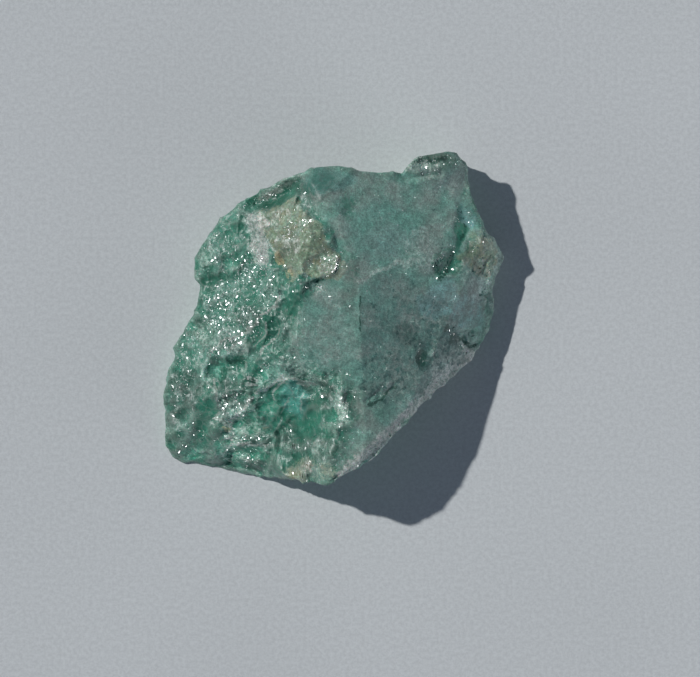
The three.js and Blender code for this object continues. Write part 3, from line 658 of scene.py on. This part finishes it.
def mix(share, a, b):
    """Colour a, with b laid over it by its share."""
    return node("Mix", {0: share, 6: a, 7: b}, data_type="RGBA").outputs[2]


def channels(colour):
    return node("SeparateColor", {0: colour}).outputs


def millimetres():
    """The place of a point on the object, in mm."""
    return scaled(node("TexCoord", {}).outputs["Object"], 1 / MM)


def clouds(size, detail, roughness=0.5):
    """Noise of 0 to 1, mostly 0.35 to 0.65, whose largest clouds are size mm wide."""
    return node("TexNoise", {"Vector": place, "Scale": 1 / size, "Detail": detail,
                             "Roughness": roughness}).outputs[0]


def shading(cloud, swing):
    """A factor round 1 that darkens where the clouds are thin and lightens where they are thick."""
    return ramp(cloud, 0.3, 0.7, 1 - swing, 1 + swing)


def ragged(share, cloud, swing, low, high):
    """A mask whose edge follows clouds: swing times the noise is added, and low to high become 0 to 1."""
    return ramp(calc("ADD", share, sloped(cloud, swing, -swing / 2)), low, high)


def cells(size, **settings):
    """Cells of a size in mm, whose lines are bent by a soft drift."""
    return node("TexVoronoi", {"Vector": bent_place, "Scale": 1 / size}, **settings).outputs


def lay(under, tint, strength, *shares):
    """A tint laid over the colour under it, as strongly as strength times its shares."""
    return mix(times(*shares, strength), under, tint)


GROWTH_GREEN = (0.27, 0.56, 0.45, 1)
GROWTH_GREY = (0.42, 0.57, 0.49, 1)
GROWTH_DARK = (0.165, 0.325, 0.285, 1)
FRACTURE_GREEN = (0.07, 0.28, 0.19, 1)
FRACTURE_PALE = (0.22, 0.44, 0.35, 1)
DEEP_GREEN = (0.06, 0.35, 0.23, 1)
TEAL = (0.17, 0.58, 0.50, 1)
FROST_WHITE = (0.64, 0.72, 0.64, 1)
HAZE_BLUE = (0.33, 0.62, 0.60, 1)
CREAM_WHITE = (0.43, 0.47, 0.36, 1)
STRAW = (0.39, 0.40, 0.24, 1)
ROSE_WHITE = (0.80, 0.78, 0.74, 1)
OLIVE = (0.25, 0.36, 0.24, 1)
OCHRE = (0.60, 0.47, 0.24, 1)
GRIME = (0.05, 0.16, 0.14, 1)
# white of the painted glints
PAINTED_GLINT_WHITE = (0.93, 1.0, 0.96, 1)
PIT_GREEN = (0.02, 0.10, 0.07, 1)
INSIDE_GREEN = (0.35, 0.85, 0.68, 1)

LARGE_BREAK, SMALL_BREAK = 2.4, 0.9  # widths of the flat breaks of the fracture
LARGE_LEAN, SMALL_LEAN = 0.55, 0.35  # how far each leans to a side
VEIN_CELL = 1.7  # gap between the veins of the lower growth face
PAINTED_GLINT, PAINTED_GLINT_REACH = 0.3, 0.36  # width of a painted glint's cell, and its own reach in cells
PAINTED_GLINTS_TO_FACETS = 0.3  # number of painted glints against that of flashing facets
FACET = 0.26  # width of a flashing facet
FACETS_IN_SUGAR, FACETS_IN_FRACTURE, FACETS_ANYWHERE = 0.7, 0.07, 0.004  # shares of the skin, which add up
FACET_LEAN, FACET_SCATTER = (-0.35, 0.19, 0.92), 0.5  # most face up and to the upper left, more or less
ROUGHNESS, FRACTURE_SMOOTHER, FACET_SMOOTHER = 0.48, 0.08, 0.22  # of the growth faces, and less by these
UNEVEN_SIZE, UNEVEN_HEIGHT = 0.7, 0.12  # width and height of the bumps all over the skin
SEE_THROUGH, CLEARER, DULLER = 0.2, 0.15, 0.35  # share, added in the windows, and factor where it is dull
INSIDE_DENSITY = 90  # how much light a metre of the stone takes
DRIFT_SIZE, DRIFT_REACH = 1.25, 1.4  # width and reach of the drift that bends the lines of cells

place = millimetres()
broad = clouds(5, 2)
medium = clouds(1.6, 3, 0.6)
small = clouds(0.6, 3, 0.6)
fine = clouds(0.25, 1)
specks = clouds(1.1, 3, 0.6)
drift = node("TexNoise", {"Vector": place, "Scale": 1 / DRIFT_SIZE, "Detail": 1.0}).outputs["Color"]
bent_place = combine("ADD", place, scaled(drift, DRIFT_REACH))

# The marks that are used more than once, with edges that follow the clouds.
broken_share = ragged(mask("broken"), medium, 1.4, 0.2, 0.8)
clear_share = ragged(mask("clear"), small, 1.6, 0.3, 0.8)
frost_and_edge_light_share = ragged(mask("frost_and_edge_light"), small, 1.8, 0.3, 1.2)
crease_share = ragged(mask("crease"), small, 1.4, 0.3, 0.9)
cream_share = ragged(mask("cream"), small, 1.8, 0.3, 0.9)
grime_share = ragged(mask("grime"), specks, 4, 0.6, 1.0)
pit_share = ragged(mask("pit"), small, 2.4, 0.35, 0.75)
stain_share = ragged(mask("stain"), small, 1.6, 0.25, 1)

# The growth faces are frosted. The fracture is a mosaic of small flat breaks: each is a little paler or
# greener, and some meet in a bruised white line.
large_break = cells(LARGE_BREAK)["Color"]
small_break = cells(SMALL_BREAK)["Color"]
small_tone = channels(small_break)
gap_to_line = cells(LARGE_BREAK, feature="DISTANCE_TO_EDGE")["Distance"]
white_line = times(ramp(gap_to_line, 0.01, 0.06, 1, 0), ramp(broad, 0.45, 0.55))

colour = mix(ramp(broad, 0.35, 0.65), GROWTH_GREEN, GROWTH_GREY)
colour = lay(colour, GROWTH_DARK, 0.8, mask("dusk"))
fracture_colour = mix(ramp(channels(large_break)[0], 0, 1), FRACTURE_GREEN, FRACTURE_PALE)
colour = mix(broken_share, colour, fracture_colour)

# Painted shade: the hollows of the fracture get a darker, deeper green.
colour = lay(colour, DEEP_GREEN, 0.4, mask("hollow"), broken_share)
colour = lay(colour, DEEP_GREEN, 0.85, clear_share)
colour = lay(colour, TEAL, 0.5, ragged(mask("teal"), broad, 1.2, 0.1, 1))
colour = lay(colour, HAZE_BLUE, 0.7, ragged(mask("haze"), medium, 1.2, 0.1, 1))
# Frosted skin, and painted light in white along the bevelled edge.
colour = lay(colour, FROST_WHITE, 0.5, frost_and_edge_light_share)
colour = lay(colour, FROST_WHITE, 0.65, crease_share)
colour = lay(colour, FROST_WHITE, 0.25, mask("crest"), broken_share)
colour = lay(colour, FROST_WHITE, 0.25, white_line, broken_share)
cream_colour = mix(ramp(small_tone[1], 0, 1), CREAM_WHITE, STRAW)
colour = mix(times(cream_share, ramp(medium, 0.35, 0.6, 0.85, 0.5)), colour, cream_colour)
# Rosy white: the skin beside the flake, and painted light on the bevelled edge.
colour = lay(colour, ROSE_WHITE, 0.6, ragged(mask("rose"), small, 2.6, 0.2, 1.1))
colour = lay(colour, OLIVE, 0.7, ragged(mask("olive"), medium, 1.6, 0.2, 1))

# The lower growth face has pale veins round dark specks.
gap_to_vein = cells(VEIN_CELL, feature="DISTANCE_TO_EDGE")["Distance"]
vein = times(ramp(gap_to_vein, 0.02, 0.14, 1, 0), ramp(broad, 0.4, 0.6, 0.3, 1))
colour = lay(colour, FROST_WHITE, 0.5, vein, mask("dusk"))
colour = lay(colour, GRIME, 0.7, grime_share)
colour = lay(colour, PIT_GREEN, 0.8, pit_share)
colour = lay(colour, OCHRE, 0.5, stain_share)

# Clouds shade the skin, less so in the clear windows.
shade = times(shading(medium, 0.16), shading(small, 0.18), shading(fine, 0.2))
shade = calc("MULTIPLY_ADD", calc("SUBTRACT", 1, shade), times(clear_share, 0.6), shade)
# Painted shade and painted light: the dim marks darken the colour, and the marks of painted light lighten
# it.
shade = times(shade, sloped(mask("dim"), -0.4, 1), sloped(mask("painted_light"), 0.6, 1))
mosaic = sloped(calc("SUBTRACT", small_tone[0], 0.5), times(broken_share, 0.25), 1)
colour = scaled(colour, times(shade, mosaic))

# Sugary fracture is full of painted glints: tiny white dots in the colour. The more sugary it is, the more
# of the cells hold one.
sugar = sloped(broken_share, FACETS_IN_FRACTURE, FACETS_ANYWHERE)
sugar = sloped(ragged(mask("sugar"), medium, 1.6, 0.1, 1), FACETS_IN_SUGAR, sugar)
sugar = times(sugar, sloped(clear_share, -0.6, 1), mask("upward"))
painted_glints = cells(PAINTED_GLINT)
in_painted_glint = calc("LESS_THAN", painted_glints["Distance"], PAINTED_GLINT_REACH)
has_painted_glint = calc("LESS_THAN", channels(painted_glints["Color"])[1], times(sugar, PAINTED_GLINTS_TO_FACETS))
colour = lay(colour, PAINTED_GLINT_WHITE, 0.85, in_painted_glint, has_painted_glint)

# The skin leans a little from break to break. Cleavage makes a few tiny facets lean nearly alike, and
# these flash.


def lean(cell_colour, amount):
    """A sideways lean for each cell: its random colour less one half, times an amount."""
    return scaled(combine("SUBTRACT", cell_colour, (0.5, 0.5, 0.5)), amount)


uneven = node("Bump", {"Height": clouds(UNEVEN_SIZE, 4, 0.7), "Strength": 0.4,
                       "Distance": UNEVEN_HEIGHT * MM}).outputs[0]
breaks = combine("ADD", lean(large_break, LARGE_LEAN), lean(small_break, SMALL_LEAN))
skin_lean = combine("ADD", uneven, scaled(breaks, times(broken_share, sloped(clear_share, -0.5, 1))))
is_facet = calc("LESS_THAN", channels(cells(FACET)["Color"])[2], sugar)
scatter_lean = lean(cells(FACET, distance="MANHATTAN")["Color"], FACET_SCATTER)
facet_lean = combine("ADD", FACET_LEAN, scatter_lean)
leaning = node("Mix", {0: is_facet, 4: skin_lean, 5: facet_lean}, data_type="VECTOR").outputs[1]
leaning = node("VectorMath", {0: leaning}, operation="NORMALIZE").outputs[0]
roughness = sloped(is_facet, -FACET_SMOOTHER, sloped(broken_share, -FRACTURE_SMOOTHER, ROUGHNESS))

# The stone is cloudy: clearest in the windows, and least clear where it is bruised, stained or dirty, and
# where pale painted light lies along the bevelled edge.
cream_or_grime = calc("MAXIMUM", cream_share, grime_share)
dull = calc("MAXIMUM", cream_or_grime, calc("MAXIMUM", frost_and_edge_light_share, stain_share))
see_through = times(ramp(dull, 0, 1, 1, DULLER), sloped(clear_share, CLEARER, SEE_THROUGH))
shader = node("BsdfPrincipled", {
    "Base Color": colour,
    "Roughness": roughness,
    "IOR": 1.57,
    "Transmission Weight": see_through,
    "Subsurface Weight": 0.3,
    "Subsurface Radius": (0.4, 1.0, 0.8),
    "Subsurface Scale": 1.2 * MM,
    "Normal": leaning,
})
inside = node("VolumeAbsorption", {"Color": INSIDE_GREEN, "Density": INSIDE_DENSITY})
node("OutputMaterial", {"Surface": shader.outputs[0], "Volume": inside.outputs[0]})
lump_mesh.materials.append(finish)

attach(lump, "root")
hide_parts("crystal")

# ------------------------------------------------------------------------------------ the sheet
# A large sheet of pale, matt paper that the lump lies on. It is a plain stage, so it lies flat, and its
# fine tooth is only a little lighter and darker.

PAPER_HALF_WIDTH = 4000  # far past the view, so that no edge shows
PAPER_WHITE = (0.72, 0.745, 0.745)

corners = np.array(((-1, -1, 0), (1, -1, 0), (1, 1, 0), (-1, 1, 0))) * PAPER_HALF_WIDTH
paper_mesh = bpy.data.meshes.new("paper_sheet")
paper_mesh.from_pydata((corners * MM).tolist(), [], [(0, 1, 2, 3)])
paper = bpy.data.objects.new("paper_sheet", paper_mesh)
bpy.context.scene.collection.objects.link(paper)

matt = bpy.data.materials.new("matt_paper")
matt.use_nodes = True
tree = matt.node_tree
tree.nodes.clear()
place = millimetres()
tone = scaled(PAPER_WHITE, times(shading(clouds(0.7, 3, 0.8), 0.08), shading(clouds(60, 1), 0.02)))
shader = node("BsdfPrincipled", {"Base Color": tone, "Roughness": 1.0, "Specular IOR Level": 0.0})
node("OutputMaterial", {"Surface": shader.outputs[0]})
paper_mesh.materials.append(matt)

# ------------------------------------------------------------------------------------ light, camera
# One lamp high on the upper left, a wide and weak one low on the lower right, a pale blue surround, and
# a camera straight above that takes in a fixed width of the sheet.

SURROUND_BLUE, SURROUND_LIGHT = (0.55, 0.7, 1, 1), 0.11  # lights the scene
BACKDROP_GREY, BACKDROP_LIGHT = (0.62, 0.65, 0.68, 1), 0.6  # seen by the camera past the sheet
VIEW_WIDTH = 126  # width of the sheet that the camera takes in
VIEW_CENTRE = (2.94, -3.66)
LENS = 200


def lamp(name, power, width, compass, elevation, tint=(1, 1, 1)):
    """A distant lamp as wide as an angle, at a compass angle from -X towards +Y, and over the horizon."""
    light = bpy.data.lights.new(name, "SUN")
    light.energy, light.angle, light.color = power, math.radians(width), tint
    holder = bpy.data.objects.new(name, light)
    bpy.context.scene.collection.objects.link(holder)
    a, e = math.radians(compass), math.radians(elevation)
    towards = Vector((-math.cos(e) * math.cos(a), math.cos(e) * math.sin(a), math.sin(e)))
    holder.rotation_mode = "QUATERNION"
    holder.rotation_quaternion = towards.to_track_quat("Z", "Y")


lamp("key_lamp", power=2.2, width=1.6, compass=28, elevation=43)
lamp("fill_lamp", power=0.55, width=40, compass=208, elevation=8, tint=(0.9, 0.95, 1))

surround = bpy.data.worlds.new("surround")
surround.use_nodes = True
bpy.context.scene.world = surround
tree = surround.node_tree
tree.nodes.clear()
lighting = node("Background", {"Color": SURROUND_BLUE, "Strength": SURROUND_LIGHT})
backdrop = node("Background", {"Color": BACKDROP_GREY, "Strength": BACKDROP_LIGHT})
is_seen = node("LightPath", {}).outputs["Is Camera Ray"]
both = node("MixShader", {0: is_seen, 1: lighting.outputs[0], 2: backdrop.outputs[0]})
node("OutputWorld", {"Surface": both.outputs[0]})

camera_data = bpy.data.cameras.new("camera")
camera_data.lens = LENS
camera_data.clip_start = 10 * MM
camera = bpy.data.objects.new("camera", camera_data)
bpy.context.scene.collection.objects.link(camera)
bpy.context.scene.camera = camera
distance = VIEW_WIDTH * camera_data.lens / camera_data.sensor_width
camera.location = [value * MM for value in (*VIEW_CENTRE, distance)]
bpy.context.scene.view_settings.view_transform = "Standard"
